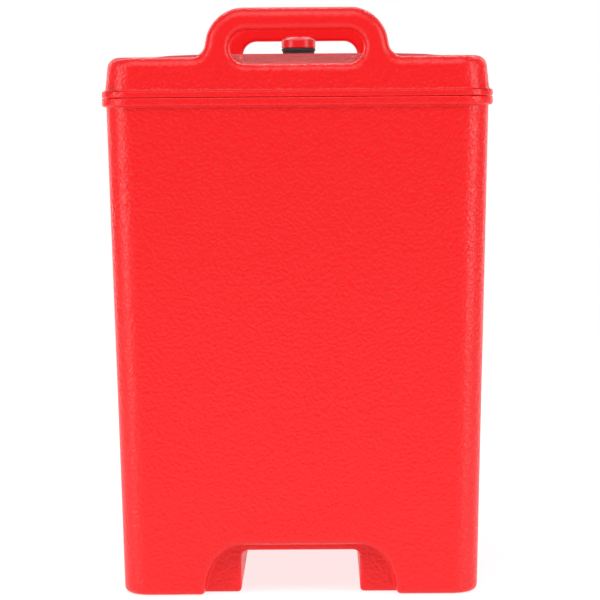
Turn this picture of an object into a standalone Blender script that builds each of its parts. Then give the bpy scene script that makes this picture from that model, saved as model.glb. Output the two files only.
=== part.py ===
"""Insulated drink container with a lift-off lid, two lid handles, side latches and a recessed tap.

Metres, +Z up. The origin is on the floor at the middle of the base. X runs across the container,
the plain back faces -Y and the tap faces +Y. The walls are one-piece moulded skins over foam.
"""

import math

import bmesh
import bpy
from mathutils import Matrix, Vector

# Clearance between pieces that touch, and how far a cutter runs past the surface it opens.
GAP = 0.0003
PAST = 0.02

# Moulded skin of the body. Halves are measured from the middle plane.
SKIN = 0.004
CORNER = 0.030
CORNER_STEPS = 4
BASE_HALF = (0.1920, 0.2430)
WALL_HALF = (0.2049, 0.2559)
RIM_HALF = (0.2095, 0.2605)
RIM_BOTTOM = 0.5287
PARTING = 0.5380
BOTTOM_EDGE = 0.007

# Rubber pads under the two runners; the skin stands clear of the floor by PAD_STAND.
PAD_PLACE = (0.130, 0.185)
PAD_RADIUS = 0.020
PAD_HEIGHT = 0.002
PAD_STAND = 0.0005

# Tank inside the body.
TANK_FLOOR = 0.100
TANK_FLOOR_HALF = (0.143, 0.193)
TANK_MOUTH_HALF = (0.155, 0.206)
TANK_CORNER = 0.034
TANK_EDGE = 0.014

# Stacking arch at the foot of the back and the front, and the channel that joins them.
ARCH_HALF = 0.104
ARCH_TOP = 0.055
ARCH_SHOULDER = (0.040, 0.050)
ARCH_DEPTH = 0.0195
CHANNEL_HALF = 0.0646
CHANNEL_TOP = 0.0464
CHANNEL_CORNER = 0.008

# Recess that shelters the tap, and the tap's place.
TAP_RECESS_HALF = 0.070
TAP_RECESS_TOP = 0.215
TAP_RECESS_BACK = 0.165
TAP_RECESS_WALL = 0.020
TAP_AXIS = 0.130
TAP_BARREL = 0.210
SHANK_RADIUS = 0.011
WASHER = 0.0025
TAP_TOP = TAP_AXIS + 0.022 + GAP
LEVER_PIVOT_Y = TAP_BARREL + 0.012
LEVER_PIVOT_Z = TAP_TOP + 0.019
LEVER_PIN_RADIUS = 0.0015
CROSS_RADIUS = 0.0012
CROSS_Z = LEVER_PIVOT_Z + 0.0018

# Latches: two on each side, in pockets that run up through the rim.
LATCH_Y = 0.130
POCKET_HALF = 0.028
POCKET_BOTTOM = 0.440
POCKET_BACK = 0.186
LATCH_PIVOT = (0.199, 0.456)
LATCH_PIN_RADIUS = 0.0025
LATCH_HALF = 0.0162
LATCH_ARM = (0.1985, 0.2060)
LATCH_TOP = 0.571
CATCH_FACE = 0.1975
CATCH_TOP = 0.556
CATCH_GROOVE = 0.189
HOOK_TIP = 0.1935
HOOK_LIFT = 0.001
SCREW_Y = 0.009
SCREW_Z = 0.4755
SCREW_RADIUS = 0.002
PLATE = 0.002

# Lid.
LID_BOTTOM = PARTING + GAP
LID_PLUG_BOTTOM = 0.516
LID_PLUG_HALF = (0.152, 0.203)
LID_FLANGE_TOP = 0.5453
LID_WALL_HALF = (0.2055, 0.2565)
LID_SHOULDER = 0.571
LID_SHOULDER_HALF = (0.2033, 0.2543)
LID_EDGE = 0.010
CROWN = 0.5863
GROOVE_HALF = (0.174, 0.225)
GROOVE_WIDTH = 0.012
GROOVE_DEPTH = 0.005

# Loop handles, one along the back of the lid and one along the front.
HANDLE_TOP = 0.6334
HANDLE_OUTER = 0.2543
HANDLE_THICKNESS = 0.030
HANDLE_ARC = 0.036
HANDLE_ARC_X = 0.055
HANDLE_FOOT = (0.0985, 0.5855)
HANDLE_FLARE = (0.112, 0.5780)
HANDLE_EDGE = 0.006
GRIP_HALF = 0.0717
GRIP_BOTTOM = 0.5734
GRIP_TOP = 0.6088

# Vent in the middle of the lid.
VENT_BORE = 0.0065
VENT_KNOB = 0.0195
VENT_TOP = 0.6079
VENT_SEAM = 0.5953
VENT_FOOT = 0.560

# Plugs that close the holes the foam is poured through.
FILL_RADIUS = 0.012
FILL_Y = 0.120

# Sides and ends that the latches and the pads are named for.
CORNERS = (("left", "back"), ("left", "front"), ("right", "back"), ("right", "front"))

ROUND_STEPS = 24


def linear(code):
    """Linear colour of an sRGB hex code."""
    parts = [int(code[i : i + 2], 16) / 255 for i in (0, 2, 4)]
    return [p / 12.92 if p <= 0.04045 else ((p + 0.055) / 1.055) ** 2.4 for p in parts] + [1.0]


def finish(name, code, roughness, metallic=0.0):
    """A plain material."""
    surface = bpy.data.materials.new(name)
    surface.use_nodes = True
    shader = surface.node_tree.nodes["Principled BSDF"]
    shader.inputs["Base Color"].default_value = linear(code)
    shader.inputs["Roughness"].default_value = roughness
    shader.inputs["Metallic"].default_value = metallic
    return surface


def ring(half_x, half_y, radius, z, steps=CORNER_STEPS):
    """Points of a level rounded rectangle."""
    points = []
    for quarter, (side_x, side_y) in enumerate(((1, 1), (-1, 1), (-1, -1), (1, -1))):
        for step in range(steps + 1):
            angle = math.radians(90 * (quarter + step / steps))
            x = side_x * (half_x - radius) + radius * math.cos(angle)
            y = side_y * (half_y - radius) + radius * math.sin(angle)
            points.append(Vector((x, y, z)))
    return points


def loft(rings, closed=False):
    """A solid through rings of points, capped at its ends unless the last ring meets the first."""
    shape = bmesh.new()
    loops = [[shape.verts.new(point) for point in points] for points in rings]
    following = loops[1:] + (loops[:1] if closed else [])
    for lower, upper in zip(loops, following):
        for side in range(len(lower)):
            shape.faces.new((lower[side - 1], lower[side], upper[side], upper[side - 1]))
    if not closed:
        shape.faces.new(loops[0])
        shape.faces.new(loops[-1])
    bmesh.ops.recalc_face_normals(shape, faces=shape.faces)
    if shape.calc_volume(signed=True) < 0:
        bmesh.ops.reverse_faces(shape, faces=shape.faces)
    return shape


def box(low, high, edge=0.0, segments=2):
    """A block between two corners, with its edges rounded if edge is given."""
    low, high = Vector(low), Vector(high)
    shape = bmesh.new()
    place = Matrix.Translation((low + high) / 2) @ Matrix.Diagonal((*(high - low), 1))
    bmesh.ops.create_cube(shape, size=1, matrix=place)
    if edge:
        bmesh.ops.bevel(shape, geom=shape.edges, offset=edge, segments=segments, profile=0.5,
                        affect="EDGES", material=-1, clamp_overlap=True)
    return shape


def rod(start, end, radius, steps=ROUND_STEPS, end_radius=None):
    """A cylinder or cone between two points."""
    start, end = Vector(start), Vector(end)
    turn = (end - start).to_track_quat("Z", "Y").to_matrix().to_4x4()
    place = Matrix.Translation((start + end) / 2) @ turn
    shape = bmesh.new()
    last = radius if end_radius is None else end_radius
    bmesh.ops.create_cone(shape, cap_ends=True, segments=steps, radius1=radius, radius2=last,
                          depth=(end - start).length, matrix=place)
    return shape


def group(shapes):
    """Several closed shapes in one mesh."""
    whole = bmesh.new()
    for shape in shapes:
        piece = bpy.data.meshes.new("part_of_group")
        shape.to_mesh(piece)
        shape.free()
        whole.from_mesh(piece)
        bpy.data.meshes.remove(piece)
    return whole


def moved(shape, matrix):
    """The shape under a transform; a mirror image keeps its faces pointing out."""
    bmesh.ops.transform(shape, matrix=matrix, verts=shape.verts)
    if matrix.determinant() < 0:
        bmesh.ops.reverse_faces(shape, faces=shape.faces)
    return shape


def corner_place(side, end):
    """The mirror transform from the right front to a side and an end."""
    return Matrix.Diagonal((-1 if side == "left" else 1, -1 if end == "back" else 1, 1, 1))


def mirrored(make, axis):
    """The shape that make() gives, and its mirror image across the origin along axis."""
    return group([make(), moved(make(), Matrix.Scale(-1, 4, axis))])


ACROSS = Vector((1, 0, 0))
ALONG = Vector((0, 1, 0))


class Kit:
    """The object's pieces and the shapes that cut them."""

    def __init__(self):
        for old in list(bpy.data.objects):
            bpy.data.objects.remove(old)
        self.pieces = bpy.data.collections.new("insulated_drink_container")
        self.tools = bpy.data.collections.new("cutters")
        bpy.context.scene.collection.children.link(self.pieces)
        bpy.context.scene.collection.children.link(self.tools)

    def mesh(self, name, shape):
        data = bpy.data.meshes.new(name)
        shape.to_mesh(data)
        shape.free()
        return data

    def piece(self, name, shape, surface, pivot=None):
        """A sub-part. With a pivot, its origin is moved there and its shape stays in place."""
        made = bpy.data.objects.new(name, self.mesh(name, shape))
        made.data.materials.append(surface)
        made.data.shade_smooth()
        made.data.set_sharp_from_angle(angle=math.radians(35))
        if pivot is not None:
            made.data.transform(Matrix.Translation(-Vector(pivot)))
            made.location = pivot
        self.pieces.objects.link(made)
        return made

    def turned(self, name, profile, surface, pivot=(0, 0, 0), steps=ROUND_STEPS):
        """A piece turned about the vertical through pivot; the profile ends on the axis or closes."""
        outline = bpy.data.meshes.new(name)
        closed = profile[0][0] > 0
        points = [(radius, 0, height) for radius, height in profile]
        ends = list(range(len(profile)))
        outline.from_pydata(points, list(zip(ends, ends[1:] + (ends[:1] if closed else []))), [])
        made = bpy.data.objects.new(name, outline)
        made.location = pivot
        made.data.materials.append(surface)
        screw = made.modifiers.new("turn", "SCREW")
        screw.steps = steps
        screw.render_steps = steps
        screw.use_merge_vertices = True
        screw.merge_threshold = 0.00001
        self.pieces.objects.link(made)
        return made

    def cutter(self, name, shape):
        tool = bpy.data.objects.new(name, self.mesh(name, shape))
        tool.display_type = "WIRE"
        tool.hide_render = True
        self.tools.objects.link(tool)
        return tool

    def change(self, target, tool, operation="DIFFERENCE"):
        step = target.modifiers.new(tool.name, "BOOLEAN")
        step.operation = operation
        step.object = tool
        step.solver = "EXACT"

    def as_cutter(self, made):
        """Turns a piece into a shape that only cuts."""
        self.pieces.objects.unlink(made)
        self.tools.objects.link(made)
        made.display_type = "WIRE"
        made.hide_render = True
        return made

    def cut(self, target, *shapes):
        """Takes each shape away from the target."""
        for count, shape in enumerate(shapes):
            self.change(target, self.cutter(f"{target.name}_cut_{count}", shape))

    def join(self, target, *shapes):
        """Adds each shape to the target."""
        for count, shape in enumerate(shapes):
            self.change(target, self.cutter(f"{target.name}_add_{count}", shape), "UNION")


# ---------------------------------------------------------------- body


def wall_ring(z, inset):
    """The body's drafted wall at a height, moved in by inset."""
    share = z / RIM_BOTTOM
    half_x = BASE_HALF[0] + (WALL_HALF[0] - BASE_HALF[0]) * share - inset
    half_y = BASE_HALF[1] + (WALL_HALF[1] - BASE_HALF[1]) * share - inset
    return ring(half_x, half_y, CORNER - inset, z)


def body_block():
    """The outside of the body with nothing cut out of it."""
    rings = []
    for angle in (0, 45, 90):
        turn = math.radians(angle)
        height = PAD_STAND + (BOTTOM_EDGE - PAD_STAND) * (1 - math.cos(turn))
        rings.append(wall_ring(height, BOTTOM_EDGE * (1 - math.sin(turn))))
    rings.append(wall_ring(RIM_BOTTOM, 0))
    for inset, z in ((0.0010, RIM_BOTTOM + 0.0006), (0, RIM_BOTTOM + 0.0022), (0, PARTING)):
        rings.append(ring(RIM_HALF[0] - inset, RIM_HALF[1] - inset, CORNER + 0.003 - inset, z))
    return loft(rings)


def foam_block(inset):
    """The outside of the foam: the body's wall moved in."""
    return loft([wall_ring(inset, inset + 0.003), wall_ring(inset + 0.003, inset),
                 wall_ring(PARTING - inset, inset)])


def tank(grow):
    """The tank's space, larger by grow on every side, with its mouth open."""
    rings = []
    for angle in (0, 45, 90):
        turn = math.radians(angle)
        inset = TANK_EDGE * (1 - math.sin(turn)) - grow
        z = TANK_FLOOR - grow + TANK_EDGE * (1 - math.cos(turn))
        rings.append(ring(TANK_FLOOR_HALF[0] - inset, TANK_FLOOR_HALF[1] - inset,
                          TANK_CORNER - inset, z))
    for z in (PARTING, PARTING + PAST):
        rings.append(ring(TANK_MOUTH_HALF[0] + grow, TANK_MOUTH_HALF[1] + grow, TANK_CORNER + grow, z))
    return loft(rings)


def tap_shelter(grow):
    """The part of the tank that the tap's recess and its wall take up."""
    half = TAP_RECESS_HALF + TAP_RECESS_WALL - grow
    front = TANK_MOUTH_HALF[1] + PAST
    back = TAP_RECESS_BACK - TAP_RECESS_WALL + grow
    return box((-half, back, TANK_FLOOR - PAST - grow),
               (half, front, TAP_RECESS_TOP + TAP_RECESS_WALL - grow))


def arch(grow):
    """The stacking arch at the foot of the back wall."""
    shoulder_x, shoulder_z = (side + grow for side in ARCH_SHOULDER)
    half = ARCH_HALF + grow
    outline = [(half, -PAST)]
    for step in range(9):
        turn = math.radians(90 * step / 8)
        x = half - shoulder_x + shoulder_x * math.cos(turn)
        outline.append((x, ARCH_TOP + grow - shoulder_z + shoulder_z * math.sin(turn)))
    outline += [(-x, z) for x, z in reversed(outline)]
    inner = -(BASE_HALF[1] - ARCH_DEPTH - grow)
    outer = -(RIM_HALF[1] + PAST)
    return loft([[Vector((x, y, z)) for x, z in outline] for y in (outer, inner)])


def upright(half_x, low_z, high_z, corner, low_y, high_y, steps=4):
    """A block along Y whose section is a rounded rectangle."""
    middle = (low_z + high_z) / 2
    section = ring(half_x, (high_z - low_z) / 2, corner, 0, steps)
    return loft([[Vector((p.x, y, middle + p.y)) for p in section] for y in (low_y, high_y)])


def channel(grow):
    """The channel through the base, open to the floor."""
    reach = RIM_HALF[1] + PAST
    return upright(CHANNEL_HALF + grow, -PAST, CHANNEL_TOP + grow, CHANNEL_CORNER + grow,
                   -reach, reach)


def tap_recess(grow):
    """The recess above the front arch."""
    return upright(TAP_RECESS_HALF + grow, -PAST, TAP_RECESS_TOP + grow, 0.030 + grow,
                   TAP_RECESS_BACK - grow, RIM_HALF[1] + PAST)


def side_slot(inner, low_z, high_z, half_y, corner):
    """A slot cut into the right side at the front latch, open outwards."""
    middle = (low_z + high_z) / 2
    section = ring(half_y, (high_z - low_z) / 2, corner, 0, 3)
    outer = RIM_HALF[0] + PAST
    return loft([[Vector((x, LATCH_Y + p.x, middle + p.y)) for p in section]
                 for x in (inner, outer)])


def all_sides(make):
    """The shape that make() gives at the right front latch, at all four latches."""
    return group([moved(make(), Matrix.Diagonal((x, y, 1, 1))) for x in (-1, 1) for y in (-1, 1)])


def pockets(grow):
    """The four latch pockets of the body."""
    return all_sides(lambda: side_slot(POCKET_BACK - grow, POCKET_BOTTOM - grow, PARTING + PAST,
                                       POCKET_HALF + grow, 0.006 + grow))


def body_hollows(grow):
    """Everything that is hollow in the body's outside, larger by grow."""
    bore = rod((0, TAP_RECESS_BACK + PAST / 2, TAP_AXIS),
               (0, TAP_RECESS_BACK - TAP_RECESS_WALL - PAST / 2, TAP_AXIS),
               SHANK_RADIUS + GAP + grow)
    return [mirrored(lambda: arch(grow), ALONG), channel(grow), tap_recess(grow), pockets(grow), bore]


def foam_space(kit, name, surface, inset):
    """The foam's space in the body wall as an object, moved in by inset from the skin's surfaces."""
    space = kit.piece(name, foam_block(inset), surface)
    kit.cut(space, *body_hollows(inset))
    room = kit.cutter(f"{name}_tank", tank(inset))
    kit.change(room, kit.cutter(f"{name}_shelter", tap_shelter(inset)))
    kit.change(space, room)
    return space


def pad(grow):
    """The right front pad, or with grow the pocket it's glued into."""
    x, y = PAD_PLACE
    return rod((x, y, -PAST * bool(grow)), (x, y, PAD_HEIGHT + grow), PAD_RADIUS + grow)


def screw_holes():
    """Pilot holes for the latch brackets' screws."""
    depth = SKIN - 0.001
    return all_sides(lambda: group([
        rod((POCKET_BACK - depth, LATCH_Y + side * SCREW_Y, SCREW_Z),
            (POCKET_BACK + 0.001, LATCH_Y + side * SCREW_Y, SCREW_Z), SCREW_RADIUS + GAP, 10)
        for side in (-1, 1)]))


def make_body(kit, skin, foam):
    shell = kit.piece("body_shell", body_block(), skin)
    kit.cut(shell, *body_hollows(0), screw_holes(), all_sides(lambda: pad(GAP)))
    room = kit.cutter("tank_space", tank(0))
    kit.change(room, kit.cutter("tank_space_shelter", tap_shelter(0)))
    kit.change(shell, room)
    kit.change(shell, kit.as_cutter(foam_space(kit, "wall_space", foam, SKIN)))
    holes = mirrored(lambda: rod((0, FILL_Y, CHANNEL_TOP - 0.001),
                                 (0, FILL_Y, CHANNEL_TOP + SKIN + 0.001), FILL_RADIUS + GAP), ALONG)
    kit.change(shell, kit.cutter("fill_holes", holes))
    foam_space(kit, "body_foam", foam, SKIN + GAP)


def circle(radius, z, y=0.0, steps=16):
    """Points of a level circle on the middle plane."""
    turns = [math.tau * step / steps for step in range(steps)]
    return [Vector((radius * math.cos(turn), y + radius * math.sin(turn), z)) for turn in turns]


def fill_plug(face, y):
    """A push-in plug pressed up into a hole in a level face."""
    profile = ((FILL_RADIUS + 0.003, -0.0025), (FILL_RADIUS + 0.004, -0.0015),
               (FILL_RADIUS + 0.004, -GAP), (FILL_RADIUS, -GAP), (FILL_RADIUS - 0.0008, SKIN - GAP))
    return loft([circle(radius, face + height, y) for radius, height in profile])


# ---------------------------------------------------------------- lid


def lid_block():
    """The outside of the lid without its handles, from the plug's underside up."""
    px, py = LID_PLUG_HALF
    wx, wy = LID_WALL_HALF
    sx, sy = LID_SHOULDER_HALF
    rx, ry = RIM_HALF
    corner = CORNER + 0.003
    rings = [ring(px - 0.006, py - 0.006, TANK_CORNER - 0.008, LID_PLUG_BOTTOM),
             ring(px - 0.002, py - 0.002, TANK_CORNER - 0.005, LID_PLUG_BOTTOM + 0.004),
             ring(px, py, TANK_CORNER - 0.003, LID_BOTTOM),
             ring(rx - 0.001, ry - 0.001, corner - 0.001, LID_BOTTOM),
             ring(rx, ry, corner, LID_BOTTOM + 0.001),
             ring(rx, ry, corner, LID_FLANGE_TOP - 0.0015),
             ring(rx - 0.0015, ry - 0.0015, corner - 0.0015, LID_FLANGE_TOP),
             ring(wx, wy, corner - 0.004, LID_FLANGE_TOP + 0.0025),
             ring(sx, sy, corner - 0.006, LID_SHOULDER)]
    for angle in (30, 60, 85):
        turn = math.radians(angle)
        inset = LID_EDGE * (1 - math.cos(turn))
        rings.append(ring(sx - inset, sy - inset, corner - 0.006 - inset,
                          LID_SHOULDER + LID_EDGE * math.sin(turn)))
    rings.append(ring(sx - 0.060, sy - 0.070, 0.020, CROWN - 0.0012))
    rings.append(ring(sx - 0.120, sy - 0.130, 0.014, CROWN))
    return loft(rings)


def lid_foam_block(inset):
    """The foam's space in the lid, clear of the gasket's groove."""
    px, py = LID_PLUG_HALF
    sx, sy = LID_SHOULDER_HALF
    step = LID_BOTTOM + GROOVE_DEPTH + inset
    return loft([ring(px - 0.004 - inset, py - 0.004 - inset, 0.020, LID_PLUG_BOTTOM + inset),
                 ring(px - inset, py - inset, 0.024, step),
                 ring(sx - inset, sy - inset, 0.024, step),
                 ring(sx - inset, sy - inset, 0.024, LID_SHOULDER),
                 ring(sx - 0.010 - inset, sy - 0.010 - inset, 0.018, LID_SHOULDER + LID_EDGE - inset),
                 ring(sx - 0.070, sy - 0.080, 0.014, CROWN - 0.0014 - inset),
                 ring(sx - 0.125, sy - 0.135, 0.012, CROWN - 0.0002 - inset)])


def handle():
    """The back handle's outline as a plate with rounded edges; its foot is buried in the lid."""
    arc_z = HANDLE_TOP - HANDLE_ARC
    outline = [(HANDLE_FLARE[0], LID_SHOULDER - 0.004), HANDLE_FLARE,
               (HANDLE_FOOT[0] + 0.0035, HANDLE_FOOT[1] - 0.005), HANDLE_FOOT]
    for step in range(8):
        turn = math.radians(10 + 80 * step / 7)
        outline.append((HANDLE_ARC_X + HANDLE_ARC * math.cos(turn),
                        arc_z + HANDLE_ARC * math.sin(turn)))
    outline += [(-x, z) for x, z in reversed(outline)]
    faces = (-HANDLE_OUTER, HANDLE_THICKNESS - HANDLE_OUTER)
    shape = loft([[Vector((x, y, z)) for x, z in outline] for y in faces])
    rim = [edge for edge in shape.edges
           if all(abs(v.co.y - edge.verts[0].co.y) < GAP and v.co.z > LID_SHOULDER for v in edge.verts)]
    bmesh.ops.bevel(shape, geom=rim, offset=HANDLE_EDGE, segments=2, profile=0.5, affect="EDGES",
                    material=-1)
    return shape


def grip(grow):
    """The back handle's opening, which runs on inwards as a finger scoop in the lid's top."""
    half_z = (GRIP_TOP - GRIP_BOTTOM) / 2 + grow
    middle = (GRIP_TOP + GRIP_BOTTOM) / 2
    section = ring(GRIP_HALF + grow, half_z, half_z - 0.0001, 0)
    stations = ((-HANDLE_OUTER - PAST, 0), (HANDLE_THICKNESS - HANDLE_OUTER, 0),
                (HANDLE_THICKNESS - HANDLE_OUTER + 0.045, 0.016))
    return loft([[Vector((p.x, y, middle + rise + p.y)) for p in section] for y, rise in stations])


def catch_slots(grow):
    """The recesses that let the latches over the lid's catches."""
    return [all_sides(lambda: side_slot(CATCH_GROOVE - grow, CATCH_TOP - grow, CROWN + PAST,
                                        POCKET_HALF + grow, 0.004 + grow)),
            all_sides(lambda: side_slot(CATCH_FACE - grow, LID_BOTTOM - PAST, CATCH_TOP + 0.010,
                                        POCKET_HALF + grow, 0.004 + grow))]


def seal_ring(half_x, half_y, width, low, high):
    """A rectangular loop with rounded corners, given by its outer size."""
    inner = (half_x - width, half_y - width)
    radius = 0.030
    return loft([ring(half_x, half_y, radius, low), ring(half_x, half_y, radius, high),
                 ring(*inner, radius - width, high), ring(*inner, radius - width, low)], closed=True)


def lid_hollows(grow):
    """What is open through the lid or cut into its outside, larger by grow."""
    bore = rod((0, 0, LID_PLUG_BOTTOM - PAST), (0, 0, CROWN + PAST), VENT_BORE + grow)
    return [mirrored(lambda: grip(grow), ALONG), *catch_slots(grow), bore]


def lid_foam_space(kit, name, surface, inset):
    space = kit.piece(name, lid_foam_block(inset), surface)
    kit.cut(space, *lid_hollows(inset))
    return space


def make_lid(kit, skin, foam, rubber, plug):
    shell = kit.piece("lid_shell", lid_block(), skin)
    kit.join(shell, mirrored(handle, ALONG))
    groove = seal_ring(*GROOVE_HALF, GROOVE_WIDTH, LID_BOTTOM - 0.001, LID_BOTTOM + GROOVE_DEPTH)
    kit.cut(shell, *lid_hollows(0), groove)
    kit.change(shell, kit.as_cutter(lid_foam_space(kit, "lid_space", foam, SKIN)))
    hole = rod((0, FILL_Y, LID_PLUG_BOTTOM - 0.001), (0, FILL_Y, LID_PLUG_BOTTOM + SKIN + 0.001),
               FILL_RADIUS + GAP)
    kit.change(shell, kit.cutter("lid_fill_hole", hole))
    lid_foam_space(kit, "lid_foam", foam, SKIN + GAP)
    kit.piece("lid_gasket", seal_ring(GROOVE_HALF[0] - GAP, GROOVE_HALF[1] - GAP,
                                      GROOVE_WIDTH - 2 * GAP, LID_BOTTOM,
                                      LID_BOTTOM + GROOVE_DEPTH - GAP), rubber)
    kit.piece("lid_fill_plug", fill_plug(LID_PLUG_BOTTOM, FILL_Y), plug)


def make_pads(kit, rubber):
    for side, end in CORNERS:
        kit.piece(f"foot_pad_{side}_{end}", moved(pad(0), corner_place(side, end)), rubber)


def make_vent(kit, red, rubber):
    stem = 0.003
    foot = VENT_FOOT + 0.004
    knob = VENT_KNOB
    kit.turned("vent_cap", [(0, VENT_TOP), (knob - 0.005, VENT_TOP), (knob - 0.0015, VENT_TOP - 0.0015),
                            (knob, VENT_TOP - 0.005), (knob, VENT_SEAM + 0.001),
                            (knob - 0.001, VENT_SEAM), (stem, VENT_SEAM), (stem, foot), (0, foot)], red)
    low = CROWN + GAP
    high = VENT_SEAM - GAP
    bore = VENT_BORE - GAP
    hole = stem + GAP
    kit.turned("vent_seal", [(hole, high), (knob - 0.0006, high), (knob, high - 0.003),
                             (knob - 0.0035, low), (bore, low), (bore, VENT_FOOT + 0.006),
                             (bore - 0.0015, VENT_FOOT), (hole, VENT_FOOT)], rubber)


# ---------------------------------------------------------------- tap


def make_tap(kit, plastic, silicone, steel, stem_plastic):
    wall_in = TAP_RECESS_BACK - TAP_RECESS_WALL
    flange = TAP_RECESS_BACK + WASHER + 2 * GAP
    barrel = rod((0, TAP_BARREL, TAP_AXIS - 0.022), (0, TAP_BARREL, TAP_AXIS + 0.022), 0.017)
    body = kit.piece("tap_body", barrel, plastic)
    kit.join(body,
             rod((0, wall_in - 0.017, TAP_AXIS), (0, TAP_BARREL, TAP_AXIS), SHANK_RADIUS),
             rod((0, flange, TAP_AXIS), (0, flange + 0.005, TAP_AXIS), 0.019),
             rod((0, TAP_BARREL, TAP_AXIS - 0.044), (0, TAP_BARREL, TAP_AXIS - 0.021), 0.0095,
                 end_radius=0.012))
    kit.cut(body,
            rod((0, TAP_BARREL, TAP_AXIS - 0.015), (0, TAP_BARREL, TAP_AXIS + 0.030), 0.013),
            rod((0, wall_in - 0.030, TAP_AXIS), (0, TAP_BARREL, TAP_AXIS), 0.007),
            rod((0, TAP_BARREL, TAP_AXIS - 0.050), (0, TAP_BARREL, TAP_AXIS - 0.010), 0.007))
    for name, y in (("tap_outer_washer", TAP_RECESS_BACK + GAP),
                    ("tap_tank_washer", wall_in - GAP - WASHER)):
        kit.piece(name, hollow_disc(SHANK_RADIUS + GAP, 0.018, y, y + WASHER), silicone)
    nut_face = wall_in - WASHER - 2 * GAP
    nut = hollow_disc(SHANK_RADIUS + GAP, 0.0195, nut_face - 0.009, nut_face, 6)
    kit.piece("tap_nut", nut, plastic)
    make_bonnet(kit, plastic)
    make_lever(kit, plastic, steel)
    make_valve(kit, stem_plastic, silicone)


def hollow_disc(inner, outer, low_y, high_y, sides=ROUND_STEPS):
    """A washer, or a nut with that many sides, about the tap's axis."""
    part = math.tau / sides
    outline = []
    hole = []
    for step in range(ROUND_STEPS):
        turn = math.tau * step / ROUND_STEPS
        reach = outer
        if sides < ROUND_STEPS:
            reach *= math.cos(part / 2) / math.cos(turn % part - part / 2)
        outline.append((reach * math.cos(turn), TAP_AXIS + reach * math.sin(turn)))
        hole.append((inner * math.cos(turn), TAP_AXIS + inner * math.sin(turn)))
    return loft([[Vector((x, y, z)) for x, z in points] for points, y in
                 ((outline, low_y), (outline, high_y), (hole, high_y), (hole, low_y))], closed=True)


def make_bonnet(kit, plastic):
    """The barrel's screwed top, with the ear that holds the lever's pin."""
    top = TAP_TOP
    bonnet = kit.piece("tap_bonnet", rod((0, TAP_BARREL, top), (0, TAP_BARREL, top + 0.011), 0.0185,
                                         end_radius=0.0165), plastic)
    ear = box((-0.0035, LEVER_PIVOT_Y - 0.0035, top + 0.008),
              (0.0035, LEVER_PIVOT_Y + 0.0035, top + 0.0225), 0.001, 1)
    kit.join(bonnet, ear)
    kit.cut(bonnet,
            rod((0, TAP_BARREL, top - 0.010), (0, TAP_BARREL, top + 0.030), 0.0033, 16),
            rod((-0.010, LEVER_PIVOT_Y, LEVER_PIVOT_Z), (0.010, LEVER_PIVOT_Y, LEVER_PIVOT_Z),
                LEVER_PIN_RADIUS + GAP, 12))


def make_lever(kit, plastic, steel):
    """The lever: two arms on the pin, toes that reach under the stem's pin, and the pad."""
    pivot = (0, LEVER_PIVOT_Y, LEVER_PIVOT_Z)
    high = LEVER_PIVOT_Z + 0.004
    low = LEVER_PIVOT_Z - 0.004
    front = LEVER_PIVOT_Y + 0.030
    arms = mirrored(lambda: box((0.0040, LEVER_PIVOT_Y - 0.0045, low), (0.0075, front, high),
                                0.0008, 1), ACROSS)
    toes = mirrored(lambda: box((0.0040, TAP_BARREL - 0.004, low),
                                (0.0075, LEVER_PIVOT_Y, LEVER_PIVOT_Z - 0.0008)), ACROSS)
    lever = kit.piece("tap_lever", arms, plastic, pivot)
    kit.join(lever, toes, box((-0.012, front - 0.012, low), (0.012, front + 0.006, high), 0.0025))
    kit.cut(lever, rod((-0.010, *pivot[1:]), (0.010, *pivot[1:]), LEVER_PIN_RADIUS + GAP, 12))
    pin = rod((-0.0085, *pivot[1:]), (0.0085, *pivot[1:]), LEVER_PIN_RADIUS, 12)
    kit.piece("tap_lever_pin", pin, steel, pivot)
    cross = rod((-0.0080, TAP_BARREL, CROSS_Z), (0.0080, TAP_BARREL, CROSS_Z), CROSS_RADIUS, 12)
    kit.piece("tap_stem_pin", cross, steel, (0, TAP_BARREL, CROSS_Z))


def make_valve(kit, plastic, silicone):
    """The stem and the silicone cup that seats over the spout."""
    foot = TAP_AXIS - 0.008
    top = TAP_TOP + 0.024
    stem = kit.turned("tap_stem",
                      [(0, top), (0.002, top), (0.003, top - 0.001), (0.003, foot + GAP), (0, foot + GAP)],
                      plastic, (0, TAP_BARREL, 0))
    kit.cut(stem, rod((-0.008, TAP_BARREL, CROSS_Z), (0.008, TAP_BARREL, CROSS_Z),
                      CROSS_RADIUS + GAP, 12))
    floor = TAP_AXIS - 0.015
    kit.turned("tap_seat_cup",
               [(0, foot), (0.0033, foot), (0.0033, foot + 0.014), (0.006, foot + 0.014),
                (0.0115, foot + 0.004), (0.0115, floor + 0.002), (0.0095, floor + GAP),
                (0, floor + GAP)],
               silicone, (0, TAP_BARREL, 0))


# ---------------------------------------------------------------- latches


def latch():
    """The right front latch: hub, arm and hook in one moulding."""
    x, z = LATCH_PIVOT
    inner, outer = LATCH_ARM
    hook = CATCH_TOP + HOOK_LIFT
    outline = [(inner, z + 0.004), (x - 0.0058, z + 0.002), (x - 0.0060, z - 0.002),
               (x - 0.0030, z - 0.006), (x + 0.0035, z - 0.006), (outer, z - 0.002),
               (outer, LATCH_TOP - 0.010), (outer + 0.0028, LATCH_TOP), (outer - 0.002, LATCH_TOP),
               (outer - 0.003, hook + 0.009), (HOOK_TIP + 0.002, hook + 0.009),
               (HOOK_TIP, hook + 0.006), (HOOK_TIP, hook), (inner, hook)]
    return loft([[Vector((along, LATCH_Y + side * LATCH_HALF, up)) for along, up in outline]
                 for side in (-1, 1)])


def bracket():
    """The right front latch's hinge plate without its ears."""
    back = POCKET_BACK + GAP
    return box((back, LATCH_Y - 0.023, LATCH_PIVOT[1] - 0.010),
               (back + PLATE, LATCH_Y + 0.023, SCREW_Z + 0.007))


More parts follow.
